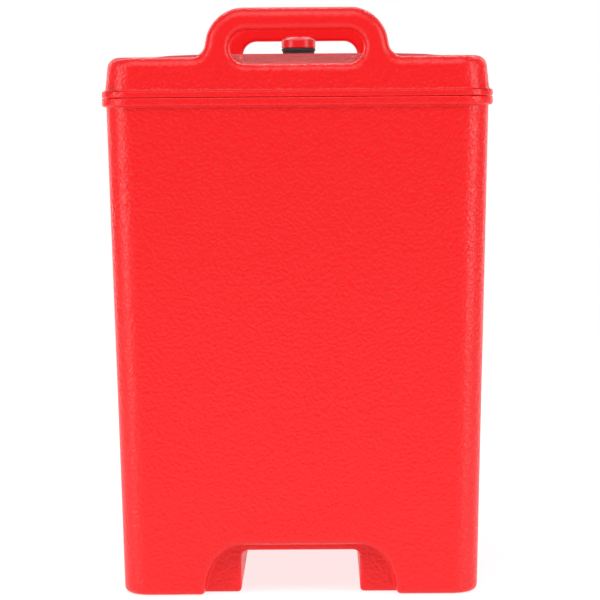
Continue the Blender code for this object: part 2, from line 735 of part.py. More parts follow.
def bracket_ears():
    """The two ears that hold the latch's pin."""
    x, z = LATCH_PIVOT
    inner, outer = LATCH_HALF + 0.0008, LATCH_HALF + 0.0038
    return group([box((POCKET_BACK + GAP + 0.001, LATCH_Y + low, z - 0.006),
                      (x + 0.006, LATCH_Y + high, z + 0.006))
                  for low, high in ((-outer, -inner), (inner, outer))])


def pivot_rod(half, radius, steps=12):
    x, z = LATCH_PIVOT
    return rod((x, LATCH_Y - half, z), (x, LATCH_Y + half, z), radius, steps)


def screw(way):
    """One of the right front bracket's two screws."""
    plate = POCKET_BACK + GAP + PLATE
    profile = ((SCREW_RADIUS, POCKET_BACK - SKIN + 0.0015), (SCREW_RADIUS, plate + GAP),
               (0.0038, plate + GAP), (0.0038, plate + 0.0016), (0.0022, plate + 0.0026))
    shape = loft([circle(radius, height, steps=8) for radius, height in profile])
    upright_to_side = Matrix.Translation((0, LATCH_Y + way * SCREW_Y, SCREW_Z))
    return moved(shape, upright_to_side @ Matrix.Rotation(math.radians(90), 4, "Y"))


def make_latches(kit, nylon, steel):
    for side, end in CORNERS:
        place = corner_place(side, end)
        pivot = place @ Vector((LATCH_PIVOT[0], LATCH_Y, LATCH_PIVOT[1]))
        label = f"{side}_{end}"
        strap = kit.piece(f"latch_{label}", moved(latch(), place), nylon, pivot)
        kit.cut(strap, moved(pivot_rod(0.030, LATCH_PIN_RADIUS + GAP), place))
        base = kit.piece(f"latch_bracket_{label}", moved(bracket(), place), steel)
        kit.join(base, moved(bracket_ears(), place))
        holes = group([rod((POCKET_BACK - 0.002, LATCH_Y + way * SCREW_Y, SCREW_Z),
                           (POCKET_BACK + 0.005, LATCH_Y + way * SCREW_Y, SCREW_Z), SCREW_RADIUS + GAP, 10)
                       for way in (-1, 1)])
        kit.cut(base, moved(pivot_rod(0.030, LATCH_PIN_RADIUS + GAP), place), moved(holes, place))
        kit.piece(f"latch_pin_{label}", moved(pivot_rod(LATCH_HALF + 0.0050, LATCH_PIN_RADIUS), place),
                  steel, pivot)
        for number, way in enumerate((-1, 1), 1):
            kit.piece(f"latch_screw_{label}_{number}", moved(screw(way), place), steel)


def main():
    kit = Kit()
    red = finish("red polyethylene", "E63238", 0.42)
    foam = finish("rigid foam", "E9D9A6", 0.9)
    rubber = finish("black rubber", "1E2124", 0.6)
    nylon = finish("black nylon", "1B1C1E", 0.45)
    plug = finish("red plug polyethylene", "D32D33", 0.45)
    silicone = finish("white silicone", "D8D8D2", 0.55)
    steel = finish("stainless steel", "B9BABA", 0.3, 1.0)
    stem = finish("stem plastic", "2A2B2D", 0.4)
    make_body(kit, red, foam)
    for end, y in (("back", -FILL_Y), ("front", FILL_Y)):
        kit.piece(f"body_fill_plug_{end}", fill_plug(CHANNEL_TOP, y), plug)
    make_pads(kit, rubber)
    make_lid(kit, red, foam, rubber, plug)
    make_vent(kit, red, rubber)
    make_tap(kit, nylon, silicone, steel, stem)
    make_latches(kit, nylon, steel)


main()
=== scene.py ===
"""Insulated drink container: the looks of its pieces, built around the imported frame.

Metres, +Z up. The plain back faces -Y and the tap faces +Y.
"""

import math

import bmesh
import bpy
from mathutils import Matrix, Vector


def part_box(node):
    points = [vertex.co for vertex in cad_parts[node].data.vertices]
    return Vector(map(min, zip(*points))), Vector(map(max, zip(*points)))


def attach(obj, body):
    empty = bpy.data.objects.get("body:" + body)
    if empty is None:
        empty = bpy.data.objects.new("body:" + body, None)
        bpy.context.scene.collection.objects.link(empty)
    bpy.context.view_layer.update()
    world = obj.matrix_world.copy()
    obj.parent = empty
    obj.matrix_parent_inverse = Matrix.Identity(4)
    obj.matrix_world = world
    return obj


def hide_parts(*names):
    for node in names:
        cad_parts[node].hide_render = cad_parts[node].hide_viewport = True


bl_info = {
    "name": "Insulated drink container",
    "version": (1, 0, 0),
    "blender": (4, 5, 0),
    "location": "3D View > Sidebar > Drink container",
    "description": "Builds the container's skins, lid, vent, tap, latches and studio",
    "category": "Object",
}

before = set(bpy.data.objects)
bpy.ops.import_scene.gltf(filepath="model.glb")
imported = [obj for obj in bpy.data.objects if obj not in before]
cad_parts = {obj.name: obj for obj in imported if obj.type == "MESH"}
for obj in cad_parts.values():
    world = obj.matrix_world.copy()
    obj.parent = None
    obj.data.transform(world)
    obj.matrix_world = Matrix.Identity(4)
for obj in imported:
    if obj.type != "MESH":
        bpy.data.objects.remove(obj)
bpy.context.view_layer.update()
BODY_LOW, BODY_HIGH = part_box("body_shell")
LID_LOW, LID_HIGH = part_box("lid_shell")

# Clearance that the frame keeps between touching pieces, and how far a cutter runs past a surface.
GAP = 0.0003
PAST = 0.02

# Halves across and along, taken from the middle plane.
BASE_HALF = (0.1920, 0.2430)
BASE = BODY_LOW.z
WALL_HALF = (0.2049, 0.2559)
RIM_HALF = (BODY_HIGH.x, BODY_HIGH.y)
RIM_BOTTOM = 0.5287
PARTING = BODY_HIGH.z
CORNER = 0.030

# Tank and the shelter that the tap's recess pushes into it.
TANK_FLOOR = 0.100
TANK_FLOOR_HALF = (0.143, 0.193)
TANK_MOUTH_HALF = (0.155, 0.206)
TANK_CORNER = 0.034
SHELTER_HALF = 0.090
SHELTER_BACK = 0.145
SHELTER_TOP = 0.235

# Arch and channel of the foot, and the tap's recess.
ARCH_HALF = 0.104
ARCH_TOP = 0.055
ARCH_SHOULDER = (0.040, 0.056)
ARCH_BACK = 0.2235
CHANNEL_HALF = 0.0646
CHANNEL_TOP = 0.0464
RECESS_HALF = 0.070
RECESS_TOP = 0.215
RECESS_BACK = 0.165
TAP_AXIS = 0.130
TAP_BARREL = 0.210
SHANK_RADIUS = 0.011
TAP_TOP = TAP_AXIS + 0.022 + GAP
FLANGE_Y = RECESS_BACK + 0.0025 + 2 * GAP
PIN_Y = TAP_BARREL + 0.012
PIN_Z = TAP_TOP + 0.019

PAD_PLACE = (0.130, 0.185)
PAD_RADIUS = 0.020
PAD_HEIGHT = 0.002

# Latch pockets of the body and the lid's catches.
LATCH_Y = 0.130
POCKET_HALF = 0.028
POCKET_BOTTOM = 0.440
POCKET_BACK = 0.186
PIVOT_X = 0.199
PIVOT_Z = 0.456
CATCH_FACE = 0.1975
CATCH_TOP = 0.556
CATCH_GROOVE = 0.189
LATCH_HALF = 0.0162
LATCH_ARM = (0.1985, 0.2060)
LATCH_TOP = 0.571
HOOK_TIP = 0.1935
SCREW_Y = 0.009
SCREW_Z = 0.4755
PLATE = 0.002

# Lid.
LID_BOTTOM = PARTING + GAP
PLUG_BOTTOM = LID_LOW.z
PLUG_HALF = (0.152, 0.203)
FLANGE_TOP = 0.5453
LID_WALL_HALF = (0.2055, 0.2565)
LID_DRAFT = 0.0948
LID_TOP = 0.5812
CROWN = 0.5848
GROOVE_HALF = (0.174, 0.225)
GROOVE_WIDTH = 0.012
GROOVE_DEPTH = 0.005

# Handles.
HANDLE_TOP = LID_HIGH.z
HANDLE_INNER = 0.2243
HANDLE_SIDE = 0.0910
HANDLE_FOOT = 0.1003
HANDLE_ARC = 0.036
HANDLE_SWEEP = 0.012
GRIP_HALF = 0.0717
GRIP_BOTTOM = 0.5734
GRIP_TOP = 0.6088

# Vent.
VENT_BORE = 0.0065
VENT_KNOB = 0.0195
VENT_TOP = 0.6079
VENT_SEAM = 0.5953
VENT_FOOT = 0.560


def linear(code):
    """Linear colour of an sRGB hex code."""
    parts = [int(code[i : i + 2], 16) / 255 for i in (0, 2, 4)]
    return [p / 12.92 if p <= 0.04045 else ((p + 0.055) / 1.055) ** 2.4 for p in parts]


def length(label, note, value):
    return bpy.props.FloatProperty(name=label, description=note, default=value, min=0, unit="LENGTH",
                                   precision=4)


def colour(label, note, code):
    return bpy.props.FloatVectorProperty(name=label, description=note, default=linear(code), size=3,
                                         min=0, max=1, subtype="COLOR")


class ContainerSizes(bpy.types.PropertyGroup):
    """Radii and grain of the mouldings."""

    foot_edge: length("Foot edge", "Rounding of the body's bottom edge", 0.0070)
    arch_edge: length("Arch edge", "Rounding around the stacking arches", 0.0075)
    recess_edge: length("Recess edge", "Rounding around the tap's recess", 0.0060)
    pocket_edge: length("Pocket edge", "Rounding around the latch pockets", 0.0022)
    lid_edge: length("Lid edge", "Rounding of the lid's top edge and the handles' outline", 0.0112)
    grip_edge: length("Grip edge", "Rounding around the handles' openings", 0.0088)
    grain_width: length("Grain width", "Size of one cell of the leathery grain", 0.0034)
    grain_depth: length("Grain depth", "Height of the leathery grain", 0.0012)


class ContainerColours(bpy.types.PropertyGroup):
    """Colours of the finishes."""

    skin: colour("Skin", "Red polyethylene of body and lid", "EE1619")
    cap: colour("Cap", "Red polypropylene of the vent cap", "E8262B")
    rubber: colour("Rubber", "Black rubber of vent seal and gasket", "2B2D2F")
    nylon: colour("Nylon", "Black nylon of the latches", "1C1D1F")
    tap: colour("Tap", "Black plastic of the tap", "141516")
    silicone: colour("Silicone", "Washers and seat cup", "DADAD4")
    steel: colour("Steel", "Stainless brackets, pins and screws", "C9C9C6")
    foam: colour("Foam", "Rigid foam between the skins", "E6D69F")
    floor: colour("Floor", "Acrylic of the studio floor", "9A9A9A")


# ------------------------------------------------------------ shaping


def plate(half_x, half_y, radius, z=0.0, steps=16):
    """A level rounded rectangle, as one face."""
    shape = bmesh.new()
    bmesh.ops.create_grid(shape, x_segments=1, y_segments=1, size=1.0)
    bmesh.ops.scale(shape, vec=(half_x, half_y, 1), verts=shape.verts)
    bmesh.ops.translate(shape, vec=(0, 0, z), verts=shape.verts)
    if radius:
        bmesh.ops.bevel(shape, geom=shape.verts[:], offset=radius, segments=steps, profile=0.5,
                        affect="VERTICES", material=-1)
    return shape


def outward(shape):
    """The shape with its doubles merged and its faces pointing out."""
    bmesh.ops.remove_doubles(shape, verts=shape.verts, dist=1e-6)
    bmesh.ops.recalc_face_normals(shape, faces=shape.faces)
    if shape.calc_volume(signed=True) < 0:
        bmesh.ops.reverse_faces(shape, faces=shape.faces)
    return shape


class Wall:
    """A solid raised ring by ring from a level rounded rectangle."""

    def __init__(self, half_x, half_y, radius, z, steps=16):
        self.shape = plate(half_x, half_y, radius, z, steps)
        self.size = (half_x, half_y, radius)
        self.rim = self.shape.edges[:]

    def to(self, half_x, half_y, radius, z):
        grown = bmesh.ops.extrude_edge_only(self.shape, edges=self.rim)["geom"]
        fresh = {part for part in grown if isinstance(part, bmesh.types.BMVert)}
        self.rim = [part for part in grown
                    if isinstance(part, bmesh.types.BMEdge) and set(part.verts) <= fresh]
        was_x, was_y, was_radius = self.size
        for vert in fresh:
            side = Vector((math.copysign(1, vert.co.x), math.copysign(1, vert.co.y)))
            centre = Vector(((was_x - was_radius) * side.x, (was_y - was_radius) * side.y))
            away = (vert.co.xy - centre) * (radius / was_radius)
            vert.co = ((half_x - radius) * side.x + away.x, (half_y - radius) * side.y + away.y, z)
        self.size = (half_x, half_y, radius)
        return self

    def closed(self):
        bmesh.ops.contextual_create(self.shape, geom=self.rim)
        return outward(self.shape)


def drawn_out(shape, along):
    """A flat face drawn out along a vector into a solid."""
    grown = bmesh.ops.extrude_face_region(shape, geom=shape.faces[:])["geom"]
    fresh = [part for part in grown if isinstance(part, bmesh.types.BMVert)]
    bmesh.ops.translate(shape, vec=along, verts=fresh)
    return outward(shape)


def standing(shape, y):
    """Stands a level face up across the object: its Y becomes height, and it lies at y."""
    turn = Matrix.Rotation(math.radians(90), 4, "X")
    bmesh.ops.transform(shape, matrix=Matrix.Translation((0, y, 0)) @ turn, verts=shape.verts)
    return shape


def upright(half_x, low_z, high_z, radius, low_y, high_y, steps=8):
    """A block along Y whose section is a rounded rectangle."""
    face = plate(half_x, (high_z - low_z) / 2, radius, 0, steps)
    bmesh.ops.translate(face, vec=(0, (high_z + low_z) / 2, 0), verts=face.verts)
    return drawn_out(standing(face, low_y), (0, high_y - low_y, 0))


def rod(start, end, radius, steps=48, end_radius=None):
    """A cylinder or cone between two points."""
    start, end = Vector(start), Vector(end)
    turn = (end - start).to_track_quat("Z", "Y").to_matrix().to_4x4()
    shape = bmesh.new()
    bmesh.ops.create_cone(shape, cap_ends=True, segments=steps, radius1=radius,
                          radius2=radius if end_radius is None else end_radius,
                          depth=(end - start).length,
                          matrix=Matrix.Translation((start + end) / 2) @ turn)
    return shape


def block(low, high):
    """A block between two corners."""
    low, high = Vector(low), Vector(high)
    shape = bmesh.new()
    bmesh.ops.create_cube(shape, size=1, matrix=Matrix.Translation((low + high) / 2)
                          @ Matrix.Diagonal((*(high - low), 1)))
    return shape


def lathed(profile, steps=64, centre=(0, 0, 0)):
    """A solid turned about the vertical through centre; a profile off the axis is closed first."""
    shape = bmesh.new()
    verts = [shape.verts.new((radius, 0, height)) for radius, height in profile]
    pairs = list(zip(verts, verts[1:]))
    if profile[0][0] > 0:
        pairs.append((verts[-1], verts[0]))
    edges = [shape.edges.new(pair) for pair in pairs]
    bmesh.ops.spin(shape, geom=verts + edges, axis=(0, 0, 1), cent=(0, 0, 0), steps=steps,
                   angle=math.tau, use_merge=True)
    bmesh.ops.translate(shape, vec=centre, verts=shape.verts)
    return outward(shape)


def moved(shape, matrix):
    """The shape under a transform; a mirror image is turned right side out."""
    bmesh.ops.transform(shape, matrix=matrix, verts=shape.verts)
    if matrix.determinant() < 0:
        bmesh.ops.reverse_faces(shape, faces=shape.faces)
    return shape


def grouped(shapes):
    """Several solids in one mesh."""
    whole = bmesh.new()
    for shape in shapes:
        data = bpy.data.meshes.new("group")
        shape.to_mesh(data)
        shape.free()
        whole.from_mesh(data)
        bpy.data.meshes.remove(data)
    return whole


def mirrored(make, axis):
    """The shape that make() gives and its mirror image."""
    return grouped([make(), moved(make(), Matrix.Scale(-1, 4, Vector(axis)))])


def four_ways(make):
    """The shape that make() gives at the right front latch, at all four latches."""
    return grouped([moved(make(), Matrix.Diagonal((x, y, 1, 1))) for x in (-1, 1) for y in (-1, 1)])


def temporary(shape, name):
    data = bpy.data.meshes.new(name)
    shape.to_mesh(data)
    shape.free()
    made = bpy.data.objects.new(name, data)
    bpy.context.scene.collection.objects.link(made)
    return made


def evaluated(made):
    """The mesh of an object with its modifiers, as a shape; the object is removed."""
    bpy.context.view_layer.update()
    depsgraph = bpy.context.evaluated_depsgraph_get()
    shape = bmesh.new()
    shape.from_object(made, depsgraph)
    data = made.data
    bpy.data.objects.remove(made)
    bpy.data.meshes.remove(data)
    return shape


def combined(shape, tool, operation="DIFFERENCE", rounded=False):
    """The shape after an exact Boolean with the tool. Both are used up.

    A rounded shape may cross itself by a hair at a corner, so it takes the slower, tolerant way.
    """
    target = temporary(shape, "target")
    cutter = temporary(tool, "cutter")
    step = target.modifiers.new("cut", "BOOLEAN")
    step.operation = operation
    step.object = cutter
    step.solver = "EXACT"
    step.use_self = rounded
    result = evaluated(target)
    data = cutter.data
    bpy.data.objects.remove(cutter)
    bpy.data.meshes.remove(data)
    bmesh.ops.remove_doubles(result, verts=result.verts, dist=2e-6)
    return result


def cut(shape, *tools, rounded=False):
    for tool in tools:
        shape = combined(shape, tool, "DIFFERENCE", rounded)
    return shape


def tidied(shape):
    """The shape with its flat areas back in single faces."""
    bmesh.ops.dissolve_limit(shape, angle_limit=math.radians(0.4), verts=shape.verts,
                             edges=shape.edges, use_dissolve_boundaries=False)
    bmesh.ops.remove_doubles(shape, verts=shape.verts, dist=2e-6)
    return shape


def softened(shape, radius_of, segments=4, sharp=22):
    """Rounds each sharp edge by the radius that radius_of(middle, hollow, edge) gives."""
    widest = 0.02
    weights = shape.edges.layers.float.new("bevel_weight_edge")
    limit = math.radians(sharp)
    shape.normal_update()
    for edge in shape.edges:
        if len(edge.link_faces) != 2 or edge.calc_face_angle(0) < limit:
            continue
        middle = (edge.verts[0].co + edge.verts[1].co) / 2
        hollow = not edge.is_convex
        edge[weights] = radius_of(middle, hollow, edge) / widest
    made = temporary(shape, "softened")
    step = made.modifiers.new("round", "BEVEL")
    step.width = widest
    step.segments = segments
    step.profile = 0.5
    step.limit_method = "WEIGHT"
    step.miter_outer = "MITER_SHARP"
    step.use_clamp_overlap = False
    return evaluated(made)


def hollowed(shape, node):
    """The solid with the sealed space inside it that the frame's foam fills."""
    space = bmesh.new()
    space.from_mesh(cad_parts[node].data)
    bmesh.ops.remove_doubles(space, verts=space.verts, dist=1e-6)
    bmesh.ops.reverse_faces(space, faces=space.faces)
    return grouped([shape, space])


def piece(name, shape, material, body, nodes, angle=40, weighted=True):
    """A finished piece that rides on a body and stands for CAD nodes."""
    data = bpy.data.meshes.new(name)
    shape.to_mesh(data)
    shape.free()
    for layer in [a for a in data.attributes if a.name == "bevel_weight_edge"]:
        data.attributes.remove(layer)
    data.materials.clear()
    data.materials.append(material)
    data.shade_smooth()
    data.set_sharp_from_angle(angle=math.radians(angle))
    made = bpy.data.objects.new(name, data)
    bpy.context.scene.collection.objects.link(made)
    if weighted:
        step = made.modifiers.new("even shading", "WEIGHTED_NORMAL")
        step.keep_sharp = True
        step.weight = 60
    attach(made, body)
    if nodes:
        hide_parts(*nodes)
    return made


# ------------------------------------------------------------ finishes


def add(tree, kind, inputs=None, **settings):
    """Adds a node with its settings; an input takes a value or another node's output."""
    node = tree.nodes.new(kind)
    for name, value in settings.items():
        setattr(node, name, value)
    for socket, value in (inputs or {}).items():
        if isinstance(value, bpy.types.NodeSocket):
            tree.links.new(value, node.inputs[socket])
        else:
            node.inputs[socket].default_value = value
    return node


def finish(name, base, roughness, metallic=0.0, **sockets):
    """A new material with one shader; gives the material, its tree and the shader."""
    surface = bpy.data.materials.get(name)
    if surface:
        return surface, None, None
    surface = bpy.data.materials.new(name)
    surface.use_nodes = True
    tree = surface.node_tree
    shader = tree.nodes["Principled BSDF"]
    shader.inputs["Base Color"].default_value = (*base, 1)
    shader.inputs["Roughness"].default_value = roughness
    shader.inputs["Metallic"].default_value = metallic
    for socket, value in sockets.items():
        shader.inputs[socket.replace("_", " ")].default_value = value
    return surface, tree, shader


def tinted(base, share):
    """The colour lightened or darkened by a share."""
    return (*[min(1.0, part * share) for part in base], 1)


# Rotomoulded polyethylene with a leathery grain: a satin skin whose small cells break the light.
def skin_finish(colours, sizes):
    base = colours.skin
    surface, tree, shader = finish("red polyethylene, rotomoulded with a leather grain", base, 0.36,
                                   Specular_IOR_Level=0.40)
    if tree is None:
        return surface
    place = add(tree, "ShaderNodeTexCoord").outputs["Object"]
    # The cells are about 3.4 mm wide, and a finer noise of half that size roughens them.
    cells = add(tree, "ShaderNodeTexVoronoi", {"Vector": place, "Scale": 1 / sizes.grain_width,
                                               "Smoothness": 0.9, "Randomness": 1.0},
                feature="SMOOTH_F1")
    fine = add(tree, "ShaderNodeTexNoise", {"Vector": place, "Scale": 0.9 / sizes.grain_width,
                                            "Detail": 2.0, "Roughness": 0.55})
    mixed = add(tree, "ShaderNodeMix", {"Factor": 0.6, "A": cells.outputs["Distance"],
                                        "B": fine.outputs["Fac"]})
    height = add(tree, "ShaderNodeSeparateXYZ", {"Vector": place})
    # The lid's top and the handles were polished in the mould, so the grain fades above 0.57 m.
    fade = add(tree, "ShaderNodeMapRange", {"Value": height.outputs["Z"], "From Min": 0.566,
                                            "From Max": 0.588, "To Min": 1.0, "To Max": 0.35})
    # Slow waves of about 70 mm that a wall keeps when it cools and shrinks.
    waves = add(tree, "ShaderNodeTexNoise", {"Vector": place, "Scale": 14.0, "Detail": 1.0})
    slow = add(tree, "ShaderNodeBump", {"Strength": 0.5, "Distance": 0.0012,
                                        "Height": waves.outputs["Fac"]})
    grain = add(tree, "ShaderNodeBump", {"Strength": fade.outputs["Result"],
                                         "Distance": sizes.grain_depth,
                                         "Height": mixed.outputs["Result"],
                                         "Normal": slow.outputs["Normal"]})
    tone = add(tree, "ShaderNodeMapRange", {"Value": mixed.outputs["Result"], "From Min": 0.2,
                                            "From Max": 0.7, "To Min": 0.0, "To Max": 1.0})
    paint = add(tree, "ShaderNodeMix", {"Factor": tone.outputs["Result"], "A": tinted(base, 1.03),
                                        "B": tinted(base, 0.95)}, data_type="RGBA")
    rough = add(tree, "ShaderNodeMapRange", {"Value": fine.outputs["Fac"], "From Min": 0.3,
                                             "From Max": 0.7, "To Min": 0.31, "To Max": 0.42})
    tree.links.new(paint.outputs["Result"], shader.inputs["Base Color"])
    tree.links.new(rough.outputs["Result"], shader.inputs["Roughness"])
    tree.links.new(grain.outputs["Normal"], shader.inputs["Normal"])
    return surface


def moulded_finish(name, base, low, high, width, depth, **sockets):
    """A moulded plastic or rubber whose texture has a size and depth in metres."""
    surface, tree, shader = finish(name, base, (low + high) / 2, **sockets)
    if tree is None:
        return surface
    place = add(tree, "ShaderNodeTexCoord").outputs["Object"]
    spark = add(tree, "ShaderNodeTexNoise", {"Vector": place, "Scale": 1 / width, "Detail": 3.0,
                                             "Roughness": 0.6})
    drift = add(tree, "ShaderNodeTexNoise", {"Vector": place, "Scale": 60.0, "Detail": 2.0})
    rough = add(tree, "ShaderNodeMapRange", {"Value": drift.outputs["Fac"], "From Min": 0.3,
                                             "From Max": 0.7, "To Min": low, "To Max": high})
    paint = add(tree, "ShaderNodeMix", {"Factor": drift.outputs["Fac"], "A": tinted(base, 1.08),
                                        "B": tinted(base, 0.9)}, data_type="RGBA")
    bump = add(tree, "ShaderNodeBump", {"Strength": 1.0, "Distance": depth,
                                        "Height": spark.outputs["Fac"]})
    tree.links.new(paint.outputs["Result"], shader.inputs["Base Color"])
    tree.links.new(rough.outputs["Result"], shader.inputs["Roughness"])
    tree.links.new(bump.outputs["Normal"], shader.inputs["Normal"])
    return surface


# Injection-moulded polypropylene, smooth and a little glossy, so the rim of the knob shines.
def cap_finish(colours):
    return moulded_finish("red polypropylene, injection moulded", colours.cap, 0.26, 0.36, 0.0012,
                          0.00002)


# Moulded rubber: dark slate, dull, with a fine bloom.
def rubber_finish(colours):
    return moulded_finish("black rubber, compression moulded", colours.rubber, 0.5, 0.68, 0.0008,
                          0.00004)


# Injection-moulded nylon with a spark-eroded texture: black, satin, slightly grey where lit.
def nylon_finish(colours):
    return moulded_finish("black nylon, injection moulded", colours.nylon, 0.40, 0.52, 0.0009,
                          0.00006)


# Injection-moulded black polypropylene: smoother and glossier than the nylon.
def tap_finish(colours):
    return moulded_finish("black polypropylene, injection moulded", colours.tap, 0.24, 0.36, 0.0015,
                          0.00002)


# Moulded silicone: milky, soft sheen.
def silicone_finish(colours):
    return moulded_finish("white silicone, moulded", colours.silicone, 0.42, 0.55, 0.0010, 0.00002,
                          Subsurface_Weight=0.3)


# Rigid polyurethane foam: open cut cells of about 1.5 mm, quite dull.
def foam_finish(colours):
    return moulded_finish("polyurethane foam, poured", colours.foam, 0.85, 0.95, 0.0015, 0.0005)


# Brushed stainless sheet: fine lines along Y that stretch the highlights.
def steel_finish(colours):
    base = colours.steel
    surface, tree, shader = finish("stainless steel, brushed", base, 0.32, 1.0)
    if tree is None:
        return surface
    place = add(tree, "ShaderNodeTexCoord").outputs["Object"]
    # Lines 0.4 mm apart, coarser than real brushing so that they show.
    lines = add(tree, "ShaderNodeMapping", {"Vector": place, "Scale": (2500, 60, 2500)})
    brushed = add(tree, "ShaderNodeTexNoise", {"Vector": lines.outputs["Vector"], "Scale": 1.0,
                                               "Detail": 2.0})
    rough = add(tree, "ShaderNodeMapRange", {"Value": brushed.outputs["Fac"], "To Min": 0.22,
                                             "To Max": 0.42})
    bump = add(tree, "ShaderNodeBump", {"Strength": 0.6, "Distance": 0.00002,
                                        "Height": brushed.outputs["Fac"]})
    tree.links.new(rough.outputs["Result"], shader.inputs["Roughness"])
    tree.links.new(bump.outputs["Normal"], shader.inputs["Normal"])
    return surface


def coat_node(node, material):
    """Gives a CAD node that stays in view its finish."""
    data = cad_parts[node].data
    data.materials.clear()
    data.materials.append(material)


# ------------------------------------------------------------ body


def arch_cutter():
    """The stacking arch at the foot of the back wall, open outwards and to the floor."""
    across, up = ARCH_SHOULDER
    low = -0.060
    stretch = up / across
    half = (ARCH_TOP - low) / 2 / stretch
    face = plate(ARCH_HALF, half, across, 0, 9)
    bmesh.ops.scale(face, vec=(1, stretch, 1), verts=face.verts)
    bmesh.ops.translate(face, vec=(0, (ARCH_TOP + low) / 2, 0), verts=face.verts)
    return drawn_out(standing(face, -ARCH_BACK), (0, -(RIM_HALF[1] + PAST - ARCH_BACK), 0))


def side_slot(inner, low_z, high_z, half, radius):
    """A slot into the right side at the front latch, open outwards."""
    shape = upright(half, low_z, high_z, radius, -(RIM_HALF[0] + PAST), -inner, 5)
    turn = Matrix.Translation((0, LATCH_Y, 0)) @ Matrix.Rotation(math.radians(90), 4, "Z")
    return moved(shape, turn)


def tank_cutter():
    room = Wall(*TANK_FLOOR_HALF, TANK_CORNER, TANK_FLOOR)
    room.to(*TANK_MOUTH_HALF, TANK_CORNER, PARTING + 0.0001)
    room.to(*TANK_MOUTH_HALF, TANK_CORNER, PARTING + PAST)
    shelter = block((-SHELTER_HALF, SHELTER_BACK, TANK_FLOOR - PAST),
                    (SHELTER_HALF, TANK_MOUTH_HALF[1] + PAST, SHELTER_TOP))
    return combined(room.closed(), shelter)


def body_radius(sizes):
    """The radius for each of the body's edges."""

    def radius_of(middle, hollow, edge):
        x, y, z = abs(middle.x), abs(middle.y), middle.z
        wall_y = BASE_HALF[1] + (WALL_HALF[1] - BASE_HALF[1]) * z / RIM_BOTTOM
        on_end = y > wall_y - 0.0015
        if middle.y > 0 and x < SHANK_RADIUS + 0.002 and abs(z - TAP_AXIS) < SHANK_RADIUS + 0.002:
            return 0.0003
        if z > PARTING - 0.0005:
            return 0.0035 if x < TANK_MOUTH_HALF[0] + 0.001 and y < TANK_MOUTH_HALF[1] + 0.001 else 0.0016
        if z > RIM_BOTTOM - 0.0005:
            return 0.0012 if hollow else 0.0028
        if z < BASE + 0.0005:
            outer = x > BASE_HALF[0] - CORNER or y > BASE_HALF[1] - 0.001
            return sizes.foot_edge if outer else 0.0045
        if on_end and (middle.y < 0 or z < ARCH_TOP + 0.001):
            return sizes.arch_edge
        if on_end:
            return sizes.recess_edge
        in_recess = x < RECESS_HALF + 0.001 and middle.y > RECESS_BACK - 0.001
        if z > TANK_FLOOR - 0.001 and not in_recess:
            return 0.0100 if hollow and z < TANK_FLOOR + 0.001 else 0.0050
        return 0.0018 if in_recess and middle.y < RECESS_BACK + 0.001 else 0.0030

    return radius_of


def make_body_shell(sizes):
    body = Wall(*BASE_HALF, CORNER, BASE)
    body.to(*WALL_HALF, CORNER, RIM_BOTTOM)
    body.to(*RIM_HALF, CORNER + 0.003, RIM_BOTTOM)
    body.to(*RIM_HALF, CORNER + 0.003, PARTING)
    shape = body.closed()
    reach = RIM_HALF[1] + PAST
    bore = rod((0, RECESS_BACK + PAST / 2, TAP_AXIS), (0, SHELTER_BACK - PAST / 2, TAP_AXIS),
               SHANK_RADIUS + GAP)
    shape = cut(shape,
                mirrored(arch_cutter, (0, 1, 0)),
                upright(CHANNEL_HALF, -PAST, CHANNEL_TOP, 0.008, -reach, reach),
                upright(RECESS_HALF, -PAST - 0.02, RECESS_TOP, 0.030, RECESS_BACK, reach, 12),
                tank_cutter(),
                bore)
    shape = softened(tidied(shape), body_radius(sizes), 5)
    pockets = four_ways(lambda: side_slot(POCKET_BACK, POCKET_BOTTOM, PARTING + PAST, POCKET_HALF, 0.006))
    pads = four_ways(lambda: rod((*PAD_PLACE, -PAST), (*PAD_PLACE, PAD_HEIGHT + GAP), PAD_RADIUS + GAP))
    shape = cut(shape, pockets, pads, rounded=True)
    return hollowed(shape, "body_foam")


class CONTAINER_OT_body(bpy.types.Operator):
    """Builds the body's skin over its foam"""

    bl_idname = "container.body"
    bl_label = "Body"

    def execute(self, context):
        sizes = context.scene.container_sizes
        colours = context.scene.container_colours
        skin = skin_finish(colours, sizes)
        piece("body_skin", make_body_shell(sizes), skin, "container",
              ["body_shell"], 50)
        coat_node("body_foam", foam_finish(colours))
        for end in ("back", "front"):
            coat_node(f"body_fill_plug_{end}", cap_finish(colours))
            for side in ("left", "right"):
                coat_node(f"foot_pad_{side}_{end}", rubber_finish(colours))
        return {"FINISHED"}


# ------------------------------------------------------------ lid


def handle_outline():
    """The lid's outline across the object with a handle's silhouette on top, as one standing face."""
    shape = bmesh.new()
    wide = RIM_HALF[0] + PAST
    points = [(wide, 0.50), (wide, LID_TOP), (HANDLE_FOOT, LID_TOP), (HANDLE_SIDE, HANDLE_TOP)]
    points += [(-x, z) for x, z in reversed(points)]
    verts = [shape.verts.new((x, z, 0)) for x, z in points]
    shape.faces.new(verts)
    arcs = ((HANDLE_TOP, HANDLE_ARC * 0.93, 14), (LID_TOP, HANDLE_SWEEP, 10))
    for z, radius, steps in arcs:
        corners = [v for v in shape.verts if abs(v.co.y - z) < 1e-5 and abs(v.co.x) < 0.15]
        bmesh.ops.bevel(shape, geom=corners, offset=radius, segments=steps, profile=0.5,
                        affect="VERTICES", material=-1)
    return shape


